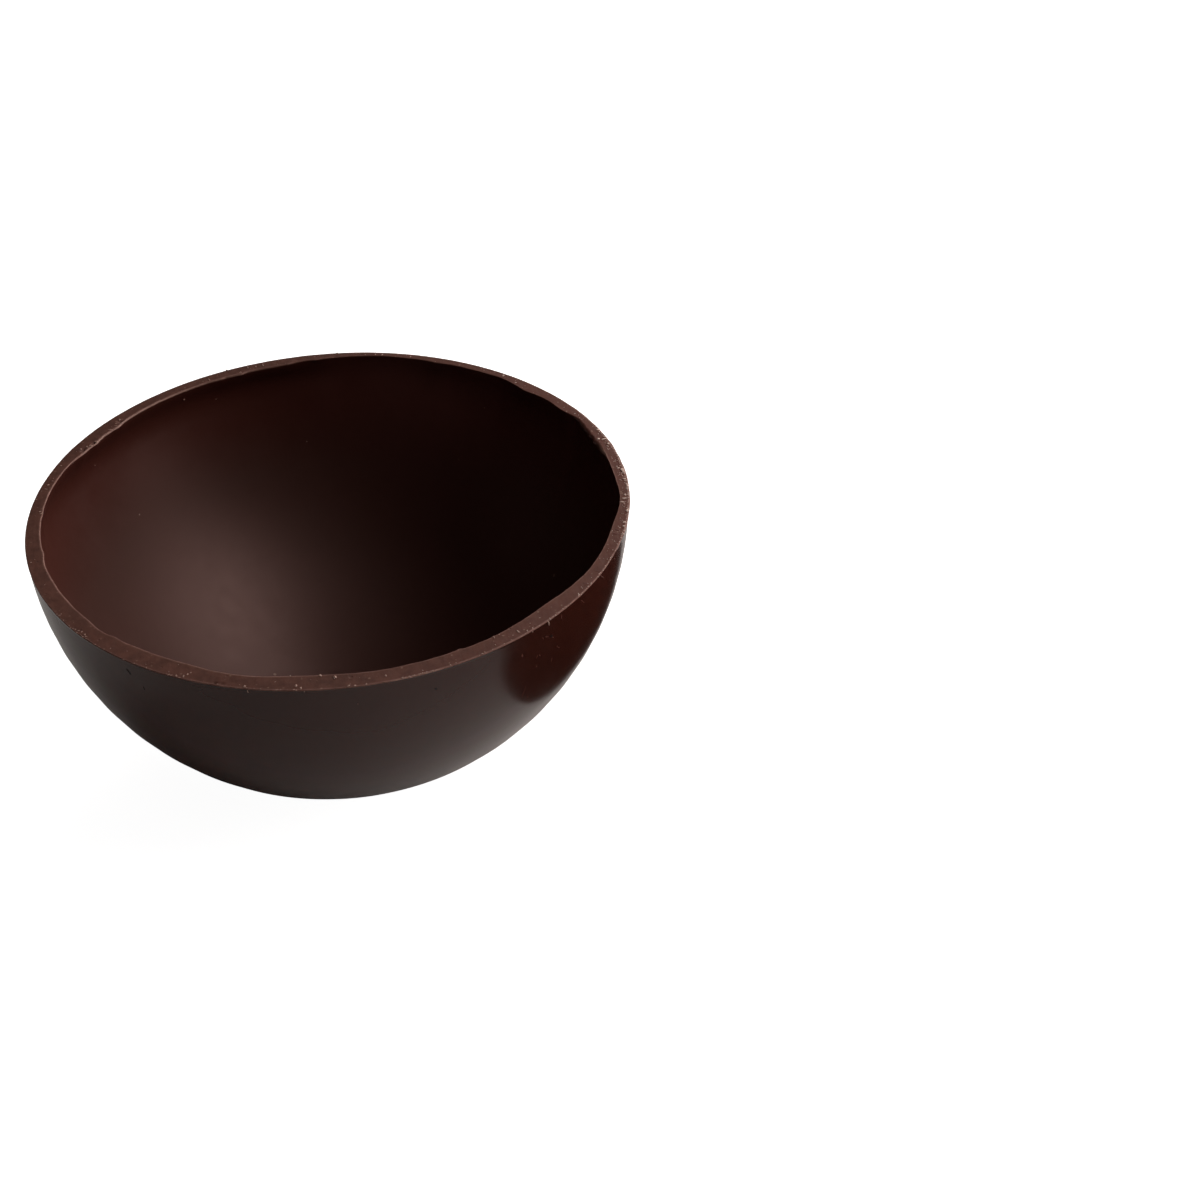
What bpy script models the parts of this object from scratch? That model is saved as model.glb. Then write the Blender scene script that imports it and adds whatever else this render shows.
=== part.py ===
"""A moulded dark chocolate half sphere: one thin hollow shell that stands on its round side, open upwards.

Metres, +Z up. The origin is the middle of the small flat spot on which the shell rests.
The outside is a true half ball. The inside is free chocolate: thicker on one side at the rim,
with a few runs that set as beads under the scraped rim, and smooth and even further down.
"""

import math

import bmesh
import bpy

MM = 0.001

# Driving sizes
RIM_DIAMETER = 70.0 * MM  # outer diameter, across the lip of the scraped rim
LIP_OVERHANG = 0.12 * MM  # how far the scraped lip flares out past the ball
LIP_HEIGHT = 0.5 * MM
REST_SPOT_RADIUS = 4.0 * MM
RIM_WIDTH = 1.55 * MM  # mean width of the flat rim face
EDGE_ROUNDING = 0.25 * MM  # between the rim face and the inside
WALL_AT_POLE = 2.0 * MM

# The rim face is widest on this side, and narrowest opposite
THICK_SIDE = 249.0  # degrees from +X towards +Y
THICK_SIDE_EXTRA = 0.77 * MM
THICK_SIDE_DEPTH = 8.0 * MM  # depth over which that unevenness fades

# Runs that set under the rim: (degrees, half width in degrees, extra wall)
RUNS = (
    (25.0, 5.0, 0.40 * MM),
    (36.0, 8.0, 0.88 * MM),
    (57.0, 10.0, 0.33 * MM),
    (106.0, 14.0, 0.70 * MM),
    (128.0, 14.0, 0.45 * MM),
    (143.0, 8.0, 0.48 * MM),
    (217.0, 4.5, -0.18 * MM),
    (245.0, 7.0, -0.32 * MM),
    (307.0, 6.0, 0.27 * MM),
    (324.0, 8.0, -0.16 * MM),
    (349.0, 6.0, -0.29 * MM),
)
RUN_DEPTH = 2.6 * MM  # depth over which a run fades
SAG_ROUNDING = 0.45 * MM  # extra rounding of the inner edge where a run sagged
SAGS = ((22.0, 8.0), (112.0, 22.0), (138.0, 10.0))  # (degrees, half width in degrees)

# How finely the surfaces are divided
SEGMENTS = 108
ARC_STEP = 5  # degrees of arc between rings of the ball
ROUNDING_STEPS = 3
RUN_RINGS = (0.95 * MM, 1.4 * MM, 2.0 * MM, 2.8 * MM, 3.9 * MM)  # depths of the rings over a run
SHARPEST_SMOOTH = 35.0  # degrees between faces that still shade as one surface
MERGE_DISTANCE = 0.001 * MM

CHOCOLATE_COLOUR = (0.045, 0.017, 0.011, 1.0)
CHOCOLATE_ROUGHNESS = 0.3

# Worked out from the sizes above
BALL_RADIUS = RIM_DIAMETER / 2 - LIP_OVERHANG
RIM_HEIGHT = math.sqrt(BALL_RADIUS**2 - REST_SPOT_RADIUS**2)


def hump(degrees, middle, half_width):
    """1 at the middle, falling smoothly to 0 on both sides, measured round the rim."""
    away = (degrees - middle + 180.0) % 360.0 - 180.0
    return math.exp(-((away / half_width) ** 2))


def fade(depth, reach):
    """1 at the rim, falling smoothly to 0 below it."""
    return math.exp(-((depth / reach) ** 2))


def rounding(degrees):
    """Radius of the rounding between the rim face and the inside."""
    return EDGE_ROUNDING + SAG_ROUNDING * max(hump(degrees, *sag) for sag in SAGS)


def wall(degrees, depth):
    """Thickness of the shell at this place round the rim, at a depth below the rim."""
    at_rim = RIM_WIDTH + EDGE_ROUNDING
    even = at_rim + (WALL_AT_POLE - at_rim) * (depth / BALL_RADIUS) ** 2
    lean = THICK_SIDE_EXTRA * math.cos(math.radians(degrees - THICK_SIDE))
    runs = sum(extra * hump(degrees, middle, half_width) for middle, half_width, extra in RUNS)
    radius = rounding(degrees)
    short = max(0.0, radius - depth)
    cut = radius - math.sqrt(radius**2 - short**2)
    return even + lean * fade(depth, THICK_SIDE_DEPTH) + runs * fade(depth, RUN_DEPTH) - cut


def inside_point(degrees, arc):
    """Radius and height of the inside, at an arc in degrees down from the rim."""
    depth = BALL_RADIUS * math.sin(math.radians(arc))
    if depth <= EDGE_ROUNDING:
        depth *= rounding(degrees) / EDGE_ROUNDING
    turn = math.asin(depth / BALL_RADIUS)
    reach = BALL_RADIUS - wall(degrees, depth)
    return reach * math.cos(turn), RIM_HEIGHT - reach * math.sin(turn)


def outer_profile():
    """Points (radius, height) up the outside, from the middle of the resting spot to the lip."""
    points = [(0.0, 0.0), (REST_SPOT_RADIUS, 0.0)]
    spot_arc = math.degrees(math.acos(REST_SPOT_RADIUS / BALL_RADIUS))
    for arc in range(90 - ARC_STEP, 0, -ARC_STEP):
        if arc < spot_arc - ARC_STEP / 2:
            turn = math.radians(arc)
            points.append((BALL_RADIUS * math.cos(turn), RIM_HEIGHT - BALL_RADIUS * math.sin(turn)))
    points.append((BALL_RADIUS, RIM_HEIGHT - LIP_HEIGHT))
    points.append((RIM_DIAMETER / 2, RIM_HEIGHT))
    return points


def inside_arcs():
    """Arcs in degrees of the inside's rings: close together under the rim, then even."""
    turns = [math.radians(90 * step / ROUNDING_STEPS) for step in range(ROUNDING_STEPS + 1)]
    depths = [EDGE_ROUNDING * (1.0 - math.cos(turn)) for turn in turns]
    depths += RUN_RINGS
    arcs = [math.degrees(math.asin(depth / BALL_RADIUS)) for depth in depths]
    return arcs + [float(arc) for arc in range(2 * ARC_STEP, 90, ARC_STEP)]


def shell_mesh():
    """The half section, turned once round the axis, with the inside then set place by place."""
    arcs = inside_arcs()
    section = outer_profile()
    first_inside = len(section)
    section += [inside_point(THICK_SIDE, arc) for arc in arcs]
    section.append((0.0, RIM_HEIGHT - BALL_RADIUS + WALL_AT_POLE))
    mesh = bmesh.new()
    ring = mesh.verts.layers.int.new("inside_ring")
    verts = [mesh.verts.new((radius, 0.0, height)) for radius, height in section]
    edges = [mesh.edges.new(pair) for pair in zip(verts, verts[1:])]
    for number in range(len(arcs)):
        verts[first_inside + number][ring] = number + 1
    bmesh.ops.spin(
        mesh,
        geom=verts + edges,
        axis=(0.0, 0.0, 1.0),
        cent=(0.0, 0.0, 0.0),
        steps=SEGMENTS,
        angle=2.0 * math.pi,
        use_merge=True,
    )
    bmesh.ops.remove_doubles(mesh, verts=mesh.verts, dist=MERGE_DISTANCE)
    for vert in mesh.verts:
        if vert[ring]:
            turn = math.atan2(vert.co.y, vert.co.x)
            radius, height = inside_point(math.degrees(turn), arcs[vert[ring] - 1])
            vert.co = (radius * math.cos(turn), radius * math.sin(turn), height)
    bmesh.ops.recalc_face_normals(mesh, faces=mesh.faces)
    return mesh


def chocolate():
    material = bpy.data.materials.new("dark_chocolate")
    material.use_nodes = True
    shader = material.node_tree.nodes["Principled BSDF"]
    shader.inputs["Base Color"].default_value = CHOCOLATE_COLOUR
    shader.inputs["Roughness"].default_value = CHOCOLATE_ROUGHNESS
    shader.inputs["Metallic"].default_value = 0.0
    material.diffuse_color = CHOCOLATE_COLOUR
    return material


def add_half_sphere():
    data = bpy.data.meshes.new("half_sphere_shell")
    mesh = shell_mesh()
    mesh.to_mesh(data)
    mesh.free()
    data.materials.append(chocolate())
    data.shade_smooth()
    data.set_sharp_from_angle(angle=math.radians(SHARPEST_SMOOTH))
    shell = bpy.data.objects.new("half_sphere_shell", data)
    bpy.context.scene.collection.objects.link(shell)


for old in list(bpy.data.objects):
    bpy.data.objects.remove(old)
add_half_sphere()
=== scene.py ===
"""Dresses the moulded chocolate half sphere: a fine shell, the crumbs of its rim, and a stage.

Metres, +Z up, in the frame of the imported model. The shell stands on its round side, open upwards.
"""

import math
import random
from bisect import bisect
from functools import cache, partial

import bmesh
import bpy
from bpy.props import FloatProperty, FloatVectorProperty, IntProperty, PointerProperty
from mathutils import Matrix, Vector, noise


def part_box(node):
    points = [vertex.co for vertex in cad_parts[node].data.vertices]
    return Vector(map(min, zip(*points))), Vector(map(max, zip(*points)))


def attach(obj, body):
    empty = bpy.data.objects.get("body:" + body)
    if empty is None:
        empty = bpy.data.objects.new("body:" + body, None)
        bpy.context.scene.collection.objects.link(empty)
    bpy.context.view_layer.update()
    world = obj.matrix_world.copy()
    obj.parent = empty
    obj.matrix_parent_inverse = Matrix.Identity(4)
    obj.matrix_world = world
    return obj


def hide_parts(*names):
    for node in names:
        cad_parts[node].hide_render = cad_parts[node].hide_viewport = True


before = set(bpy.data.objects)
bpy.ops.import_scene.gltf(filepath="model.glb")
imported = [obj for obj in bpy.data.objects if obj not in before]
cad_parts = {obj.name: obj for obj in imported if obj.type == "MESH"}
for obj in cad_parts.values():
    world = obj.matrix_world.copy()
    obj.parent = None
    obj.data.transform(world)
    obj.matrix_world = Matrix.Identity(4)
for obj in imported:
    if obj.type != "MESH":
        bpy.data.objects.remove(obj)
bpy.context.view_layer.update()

bl_info = {
    "name": "Chocolate Half Sphere",
    "version": (1, 0, 0),
    "blender": (4, 5, 0),
    "location": "3D View > Sidebar > Chocolate",
    "description": "A moulded chocolate half sphere with a scraped rim and its crumbs",
    "category": "Add Mesh",
}

MM = 0.001
NODE = "half_sphere_shell"
BODY = "root"
WEAR_AND_HIGHLIGHT = "edge_wear"  # the attribute that says how worn the shell's edges are, and where a highlight is painted along them
RIM_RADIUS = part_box(NODE)[1].x
RIM_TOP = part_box(NODE)[1].z

# Width of the flat rim face round the shell: (degrees, millimetres)
RIM_WIDTHS = (
    (0, 1.34), (5, 1.31), (10, 1.24), (15, 1.17), (20, 1), (22, 0.92), (24, 1.12), (26, 1.44),
    (28.5, 1.48), (32, 1.41), (35.5, 1.48), (38.5, 1.72), (41, 1.54), (44, 1.28), (46.5, 1.1),
    (50, 1.15), (55, 1.15), (59.5, 1.1), (62.5, 1.23), (66, 1.02), (70, 0.92), (75, 0.8),
    (80, 0.88), (85, 1.05), (90, 1.2), (95, 1.46), (100, 1.63), (105, 1.62), (110, 1.72),
    (115, 1.55), (120, 1.54), (125, 1.58), (130, 1.62), (135, 1.7), (139, 1.88), (143, 1.9),
    (147, 1.94), (149.5, 1.86), (151.5, 1.8), (154, 1.63), (158, 1.46), (162, 1.42), (166, 1.44),
    (170, 1.5), (175, 1.6), (180, 1.68), (185, 1.82), (188, 1.86), (192, 1.84), (196, 1.9),
    (200, 2), (205, 2.06), (210, 2.14), (213.8, 2.16), (216.2, 2.04), (218.5, 2), (220.2, 2.06),
    (222, 2.24), (225, 2.24), (228, 2.36), (232, 2.38), (236, 2.38), (240, 2.34), (244, 2.2),
    (248, 2.1), (251.5, 2.1), (255, 2.22), (258.5, 2.34), (262, 2.42), (266, 2.42), (269.5, 2.3),
    (273, 2.2), (276, 2.14), (280, 2.12), (285, 2.08), (288.5, 2.12), (290.2, 2.12), (292, 2.02),
    (296, 1.96), (299, 1.98), (303, 2.08), (307, 2.16), (310, 2.2), (313, 2.14), (316, 1.98),
    (320, 1.78), (322.5, 1.64), (325, 1.57), (330, 1.55), (335, 1.58), (340, 1.53), (343, 1.44),
    (346, 1.28), (349, 1.12), (352, 1.09), (354.5, 1.18), (357, 1.28),
)
# How far the inside steps back under the rim: (degrees, millimetres)
HOLLOWS = (
    (0, 0), (84, 0), (92, 0.45), (100, 0.75), (110, 0.86), (130, 0.88), (145, 0.96), (155, 1.15),
    (165, 1.22), (175, 1.15), (183, 0.95), (189, 0.4), (196, 0), (345, 0),
)
# How far the lip stands out past the ball besides its even overhang: (degrees, millimetres)
LIP_FLARES = (
    (0, 0.16), (15, 0.17), (25, 0.13), (35, 0.05), (50, 0.05), (62, 0.1), (76, 0.14), (90, 0.1),
    (105, 0), (130, 0), (150, 0.05), (165, 0), (330, 0), (345, 0.1),
)
# How worn and pale the lip and the inner edge are, with a highlight painted where light catches
# them, from 0 to 1: (degrees, wear and painted highlight)
LIP_WEAR_AND_HIGHLIGHT = (
    (0, 0.5), (20, 0.3), (40, 0.12), (165, 0.1), (200, 0.2), (215, 0.4), (240, 0.4), (252, 0.5),
    (262, 0.4), (272, 0.5), (278, 0.9), (285, 1), (287, 0.6), (300, 0.65), (320, 0.65), (335, 0.6),
    (345, 0.6),
)
# Along the inner edge the paleness is partly a painted highlight, above all on the rounded bead
# from 100 to 165 degrees
EDGE_WEAR_AND_HIGHLIGHT = (
    (0, 0.8), (8, 0.7), (14, 0.2), (40, 0.3), (60, 0.2), (88, 0.15), (100, 0.4), (118, 0.7),
    (150, 0.8), (165, 0.8), (200, 0.75), (230, 0.45), (245, 0.55), (258, 0.65), (268, 0.4),
    (290, 0.3), (310, 0.4), (325, 0.6), (345, 0.5), (352, 0.7),
)
# Where the inner edge set round, not crisp: (first degrees, last degrees, degrees over which it
# passes, extra radius in millimetres)
SAGS = (
    (10, 20, 3, 0.36), (97, 151, 2.5, 0.1),
)
# Chips out of the rim face: (degrees, half length in degrees, in from the lip, half width, depth),
# the lengths in millimetres
CHIPS = (
    (137.8, 0.55, 1.42, 0.15, 0.34), (147.2, 0.35, 1.78, 0.12, 0.26),
    (150.4, 0.55, 1.44, 0.15, 0.34), (94, 0.8, 0.75, 0.3, 0.1), (98.5, 0.5, 0.8, 0.18, 0.1),
    (246.5, 0.35, 0.28, 0.13, 0.22), (247.7, 0.3, 0.34, 0.11, 0.16), (13.9, 0.35, 0.05, 0.12, 0.12),
    (329, 1.6, 0.45, 0.25, 0.03),
)
# Small bumps of the inner edge: (degrees, half width in degrees, extra wall in millimetres)
EDGE_NICKS = (
    (290.8, 0.45, 0.14), (297.9, 0.35, 0.06), (106.9, 0.8, 0.14), (110.5, 0.6, -0.1),
    (139.5, 1.2, 0.1), (143.8, 0.6, -0.08), (147, 0.9, 0.12), (174.7, 0.5, 0.05),
    (188.5, 1.6, 0.12), (12.9, 0.7, 0.16), (15.6, 0.5, 0.12), (18.2, 0.6, 0.08), (89.8, 1.1, 0.16),
)
# Larger crumbs on the rim: (degrees, in from the lip, length, width, turn from the radius in
# degrees), the lengths in millimetres
RIM_CRUMBS = (
    (0.4, 0.18, 0.41, 0.44, 20), (1.3, 0.52, 0.31, 0.16, 10), (1.9, 0.66, 0.19, 0.16, 0),
    (9.7, 0.5, 0.17, 0.16, 0), (10.5, 0.22, 0.29, 0.26, 30), (12.5, 0.28, 0.67, 0.21, -4),
    (12.9, 0.96, 0.31, 0.31, 0), (13.3, 0, 0.24, 0.26, 0), (14.9, 0.02, 0.22, 0.23, 0),
    (16.3, 0.06, 0.36, 0.31, 40), (24.2, 0.7, 0.22, 0.1, 15), (46.5, 0.52, 0.4, 0.22, 0),
    (42.5, 1, 0.2, 0.14, 0), (69, 0.52, 0.4, 0.12, 0), (75.3, 0.52, 0.4, 0.14, 0),
    (76.8, 0.5, 0.3, 0.1, 0), (85.2, 0.02, 0.2, 0.2, 0), (101.5, 0.8, 0.6, 0.14, 0),
    (103.1, 0.82, 0.3, 0.12, 0), (104.8, 0.55, 0.55, 0.12, 0), (106.9, 1.44, 0.2, 0.2, 0),
    (109.2, 0.04, 0.24, 0.2, 0), (114, 1.05, 0.6, 0.14, 0), (137.3, 1.06, 0.2, 0.24, 0),
    (138.8, 1.3, 0.16, 0.12, 30), (139.5, 1.62, 0.36, 0.12, 35), (141.3, 1.7, 0.5, 0.14, 35),
    (148.3, 1.76, 0.34, 0.26, 30), (148.9, 1.5, 0.3, 0.16, -30), (150.2, 1.1, 0.14, 0.22, 0),
    (146.6, 1.86, 0.3, 0.26, 20), (155, 1.56, 0.22, 0.1, 60), (156.8, 0.56, 0.3, 0.1, 0),
    (162.5, 0.98, 0.4, 0.08, 0), (164, 0.72, 0.28, 0.18, 20), (165.5, 0.76, 0.26, 0.14, 0),
    (169.2, 0.22, 0.14, 0.14, 0), (173.5, 1.2, 0.28, 0.14, 25), (174.2, 1.46, 0.46, 0.14, 32),
    (190.7, 0.42, 0.16, 0.16, 0), (209.4, 0.22, 0.18, 0.12, 0), (209.2, 0.48, 0.12, 0.1, 0),
    (215, 0.24, 0.14, 0.14, 0), (215.7, 0.36, 0.2, 0.12, -35), (216.4, 0.46, 0.14, 0.12, 0),
    (217.5, 0.4, 0.24, 0.14, 30), (218, 0.26, 0.14, 0.12, 0), (224.2, 0.58, 0.14, 0.1, 0),
    (239.2, 0.2, 0.22, 0.16, 0), (240.5, 0.4, 0.3, 0.14, 15), (240.9, 0.8, 0.22, 0.14, 0),
    (241.2, 1.16, 0.22, 0.12, 0), (251.8, 0.3, 0.3, 0.2, 0), (259.2, 2.36, 0.2, 0.12, 0),
    (261.5, 0.34, 0.3, 0.16, 10), (260.6, 0.76, 0.34, 0.18, 10), (264.6, 2.28, 0.34, 0.24, 0),
    (267.3, 1.8, 0.42, 0.3, 0), (269.6, 0.24, 0.22, 0.18, 0), (270.6, 0.12, 0.2, 0.16, 0),
    (272.6, 0.16, 0.24, 0.12, 0), (276.2, 0.98, 0.3, 0.14, 0), (278.8, 0.1, 0.24, 0.2, 0),
    (282.6, 0.54, 0.14, 0.1, 0), (287.5, 0.14, 0.18, 0.12, 0), (293.6, 0.1, 0.2, 0.16, 0),
    (296.8, 0.64, 0.16, 0.12, 0), (297.8, 1.74, 0.26, 0.18, 0), (299.1, 1.84, 0.16, 0.12, 0),
    (302.2, 0.86, 0.42, 0.16, -8), (303.6, 0.3, 0.34, 0.1, -25), (304.8, 0.26, 0.2, 0.1, -20),
    (308.8, 0.04, 0.36, 0.14, -20), (317.6, 0.26, 0.3, 0.1, -30), (338.2, 0.02, 0.31, 0.26, 0),
    (340.8, 0.18, 0.29, 0.26, 0), (342.2, 0.26, 0.24, 0.21, 0), (346.1, 0.14, 0.34, 0.29, 0),
    (349.1, 0.84, 0.48, 0.13, 0), (350.3, 0.5, 0.56, 0.15, 0), (351.6, 0.46, 0.22, 0.23, 0),
    (353.6, 0.04, 0.29, 0.34, 60), (354.6, 0.06, 0.26, 0.29, 0), (355.3, 0.12, 0.22, 0.23, 0),
    (357.2, 0.3, 0.24, 0.21, 0), (359.7, 0.1, 0.31, 0.26, 0),
)
# Thin flakes lying on the rim, in the same form
RIM_FLAKES = (
    (338.2, 0.84, 0.7, 0.42, 10), (339.4, 0.78, 0.6, 0.36, -14), (321, 0.7, 0.6, 0.2, 0),
    (325.5, 0.6, 0.5, 0.26, 20),
)
# Stretches of the lip with a ridge of small crumbs: (first degrees, last degrees, number)
LIP_RIDGES = (
    (279.2, 284.8, 44), (205, 241, 34), (250, 262, 12), (292, 312, 18), (312, 336, 26),
    (336, 378, 60),
)
# Burrs on the outside: (degrees, depth below the rim, length, width, turn from upright in degrees),
# the lengths in millimetres
WALL_BURRS = (
    (252.4, 0.36, 0.4, 0.12, 5), (308.4, 0.42, 0.7, 0.12, 12), (262.1, 0.2, 0.16, 0.1, 0),
    (304.4, 0.2, 0.3, 0.08, 20),
)
# Scuffs of the outside, in the same form
WALL_SCUFFS = (
    (325.2, 0.45, 0.6, 0.14, 35), (311.9, 0.8, 0.7, 0.1, 0), (318.4, 1.25, 1.1, 0.06, 40),
    (326, 0.9, 1.3, 0.14, 42), (332.4, 1, 0.9, 0.07, 45), (330.4, 3.2, 0.6, 0.05, 45),
    (331.6, 4.2, 0.7, 0.05, 45), (308, 2.25, 0.6, 0.08, 60), (309.7, 2.95, 0.4, 0.08, 40),
    (307, 2.1, 0.34, 0.1, 20), (302, 2.8, 0.5, 0.24, 10), (305.7, 4.3, 0.5, 0.08, -25),
    (306.4, 4.35, 0.46, 0.09, 30), (311.1, 4.85, 0.4, 0.09, 10), (311.7, 5.25, 0.34, 0.1, 40),
    (305.8, 5.8, 0.3, 0.12, 0), (310, 6.4, 0.8, 0.05, 0), (303.5, 9, 1.6, 0.04, -8),
    (304.9, 10.4, 0.6, 0.07, 30), (270.8, 2.5, 0.22, 0.12, 0),
)
# Small dents of the outside, their shade painted as dark spots, in the same form
WALL_DENT_SHADES = (
    (228.8, 1.6, 0.85, 0.32, 35), (309.2, 2.6, 0.45, 0.26, 30), (284.5, 2.6, 0.34, 0.2, 50),
    (231.6, 3.3, 0.5, 0.1, 10),
)
# Specks on the inside: (degrees, depth below the rim, size), the lengths in millimetres
INSIDE_SPECKS = (
    (120.6, 1.55, 0.26), (113, 3.3, 0.16), (147, 3.6, 0.16), (94.2, 11.5, 0.18),
    (141.4, 12.6, 0.18), (212, 14.5, 0.16), (198, 16, 0.14),
)

# How finely the shell is divided, from the resting spot over the rim to the inside
OUTSIDE_ARCS = range(80, 6, -5)  # degrees of arc below the rim
OUTSIDE_DEPTHS = (4.2, 2.9, 2.0, 1.4, 1.0)  # millimetres below the rim
# The lip up to the rim face: (share of its height below the rim, share of its overhang)
LIP_FORM = (
    (1.6, 0.0), (1.1, 0.05), (0.8, 0.18), (0.56, 0.42), (0.4, 0.7), (0.3, 0.88),
    (0.21, 0.98), (0.15, 1.0), (0.1, 0.9), (0.055, 0.65), (0.02, 0.25), (0.0, -0.3),
)
SCRAPED_SHARE = 0.24  # the top of the lip, down to this share of its height, is scraped
RIM_SHARES = (0.0, 0.04, 0.1, 0.18, 0.27, 0.36, 0.46, 0.56, 0.66, 0.75, 0.83, 0.9, 0.96, 1.0)
OUTER_WORN_AND_HIGHLIT, INNER_WORN_AND_HIGHLIT = 0.05, 0.06  # shares of the rim face over which its edges' wear and painted highlight fade
EDGE_TURNS = (15.0, 30.0, 47.0, 67.0, 90.0)  # degrees round the inner edge
LAST_TURN_WEAR_AND_HIGHLIGHT = 0.4
INNER_DEPTHS = (0.07, 0.16, 0.28, 0.44, 0.64, 0.9, 1.2, 1.55, 1.95, 2.4, 3.0, 3.8, 4.8)
INSIDE_ARCS = range(12, 90, 5)  # degrees of arc below the rim
RING_CUTS = 20  # the shell is spun coarsely, then each step is cut into this many
SHARPEST_SMOOTH = math.radians(50.0)  # between faces that still shade as one surface
CRISP_EDGE = 2.0  # an inner edge rounded more than so many edge roundings belongs to the inside
MERGE_DISTANCE = 0.0001 * MM

# Unevenness round the rim, in layers: (height, waves per turn, row of the noise)
NICK_WAVES = ((0.05, 46.0, 0.0), (0.04, 150.0, 3.0))  # heights in millimetres
LIP_WAVES = ((0.9, 60.0, 5.0), (0.72, 170.0, 9.0))  # as shares of the lip's overhang
LIP_WEAR_AND_HIGHLIGHT_WAVES = ((0.25, 90.0, 11.0),)
EDGE_WEAR_AND_HIGHLIGHT_WAVES = ((0.25, 70.0, 13.0),)
SCRAPE_WAVES = ((0.014, 0.6), (0.011, 2.1))  # (millimetres, waves per millimetre)
FAINTEST_CHIP = 0.01  # the share of a chip's depth below which it has ended

# The crumbs, their lengths in millimetres
CRUMB_SEED = 41
CRUMB_LIFT = 0.4  # how far the middle of a crumb lies above the rim, as a share of its half height
CRUMB_ROUGHNESS = 0.5
CRUMB_WAVES = 1.6  # of noise, over half a crumb
CRUMB_STEPS = (7.3, 1.7, 0.0)  # through the noise, from one seed to the next
SEED_SPREAD = 90.0  # for small crumbs, whose seeds are drawn
ANY_TURN = (0.0, 180.0)  # degrees
FINE, MEDIUM, COARSE = 3, 2, 1  # how finely a crumb is divided
FEWEST_SPLINTERS, SPLINTER_EVERY = 2, 0.16  # and one more for each such length of the crumb
WIDEST_SPLINTER = 0.2
SPLINTER_AHEAD = (-0.55, 0.55)  # from the crumb's middle, as shares of its length
SPLINTER_ASIDE = (-0.6, 0.6)  # the same across it, as shares of its width
SPLINTER_WIDTH = (0.35, 0.7)  # as shares of the crumb's width
SPLINTER_LENGTH = (1.0, 2.0)  # over its own width
SPLINTER_STEP = 0.37  # between the seeds of a crumb's splinters
BURR_SHARE = 0.7  # of the lip's overhang, at which its burrs lie
SPECK_RISE = 0.3  # half height of a speck over its size
FLAKE_SEED, SPECK_SEED = 200, 500
RIDGE_SIZES = (0.06, 0.14, 1.8)  # least and most size, and most length over size
RIDGE_INWARD = (-0.02, 0.16)  # from the lip
SCATTERED_SIZES = (0.04, 0.1, 2.2)
CROWDED_SHARE = 0.5  # of the scattered crumbs, near the crowded place
CROWDED_PLACE = (356.0, 11.0)  # degrees, and their spread
CROWDED_REACH, FULL_REACH = 0.65, 0.97  # how far in from the lip, as a share of the rim's width

# Colours that the finishes run into
# The first two are the paleness of worn edges with a highlight painted along them; the inside one
# mostly paints the highlight on the rounded bead
WORN_AND_HIGHLIT = (0.38, 0.215, 0.18)
INSIDE_WEAR_AND_HIGHLIGHT = (0.22, 0.13, 0.10)
WARM_INSIDE = (0.059, 0.0152, 0.0107)
INSIDE_SPECK = (0.16, 0.10, 0.075)
# painted light: the rim face is painted redder and lighter towards the right, where the light from
# behind falls on it
SCRAPED_LIT_SIDE_PAINT = (0.17, 0.05, 0.034)
DUST = (0.24, 0.14, 0.105)
# painted light: crumbs towards the right are painted this pale where the light from behind catches
# them
BACKLIT_CRUMB_PAINT = (0.86, 0.66, 0.58)
UNDER_RIM = (RIM_TOP - 14.0 * MM, RIM_TOP - 6.5 * MM)  # where the inside turns warmer and smoother

UP = Vector((0.0, 0.0, 1.0))


def hump(degrees, middle, half_width):
    """1 at the middle, falling smoothly to 0 on both sides, measured round the rim."""
    away = (degrees - middle + 180.0) % 360.0 - 180.0
    return math.exp(-((away / half_width) ** 2))


def plateau(degrees, first, last, soft):
    """1 between two places round the rim, falling smoothly to 0 past them."""
    middle, half = (first + last) / 2, (last - first) / 2
    away = abs((degrees - middle + 180.0) % 360.0 - 180.0) - half
    return math.exp(-((max(0.0, away) / soft) ** 2))


def fade(depth, reach):
    """1 at the rim, falling smoothly to 0 below it."""
    return math.exp(-((depth / reach) ** 2))


def ripple(degrees, per_turn, row):
    """Smooth noise from -1 to 1 round the rim that closes on itself; each row has its own."""
    turn = math.radians(degrees)
    reach = per_turn / (2.0 * math.pi)
    return noise.noise(Vector((math.cos(turn) * reach, math.sin(turn) * reach, row)))


def ripples(degrees, waves):
    """Layers of such noise, each given as its height, waves per turn and row."""
    return sum(height * ripple(degrees, per_turn, row) for height, per_turn, row in waves)


def on_curve(table, degrees):
    """The value at this place round the rim, on a smooth closed curve through the table."""
    after = bisect([spot for spot, _ in table], degrees % 360.0)
    near = []
    for index in range(after - 2, after + 2):
        turns, row = divmod(index, len(table))
        spot, value = table[row]
        near.append((spot + 360.0 * turns, value))
    (spot_a, a), (spot_b, b), (spot_c, c), (spot_d, d) = near
    span = spot_c - spot_b
    share = (degrees % 360.0 - spot_b) / span
    rise_b = (c - a) / (spot_c - spot_a) * span
    rise_c = (d - b) / (spot_d - spot_b) * span
    square, cube = share**2, share**3
    return (
        b * (2 * cube - 3 * square + 1)
        + c * (3 * square - 2 * cube)
        + rise_b * (cube - 2 * square + share)
        + rise_c * (cube - square)
    )


Length = partial(FloatProperty, subtype="DISTANCE")
Colour = partial(FloatVectorProperty, size=3, subtype="COLOR")
Power = partial(FloatProperty, unit="POWER")


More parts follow.
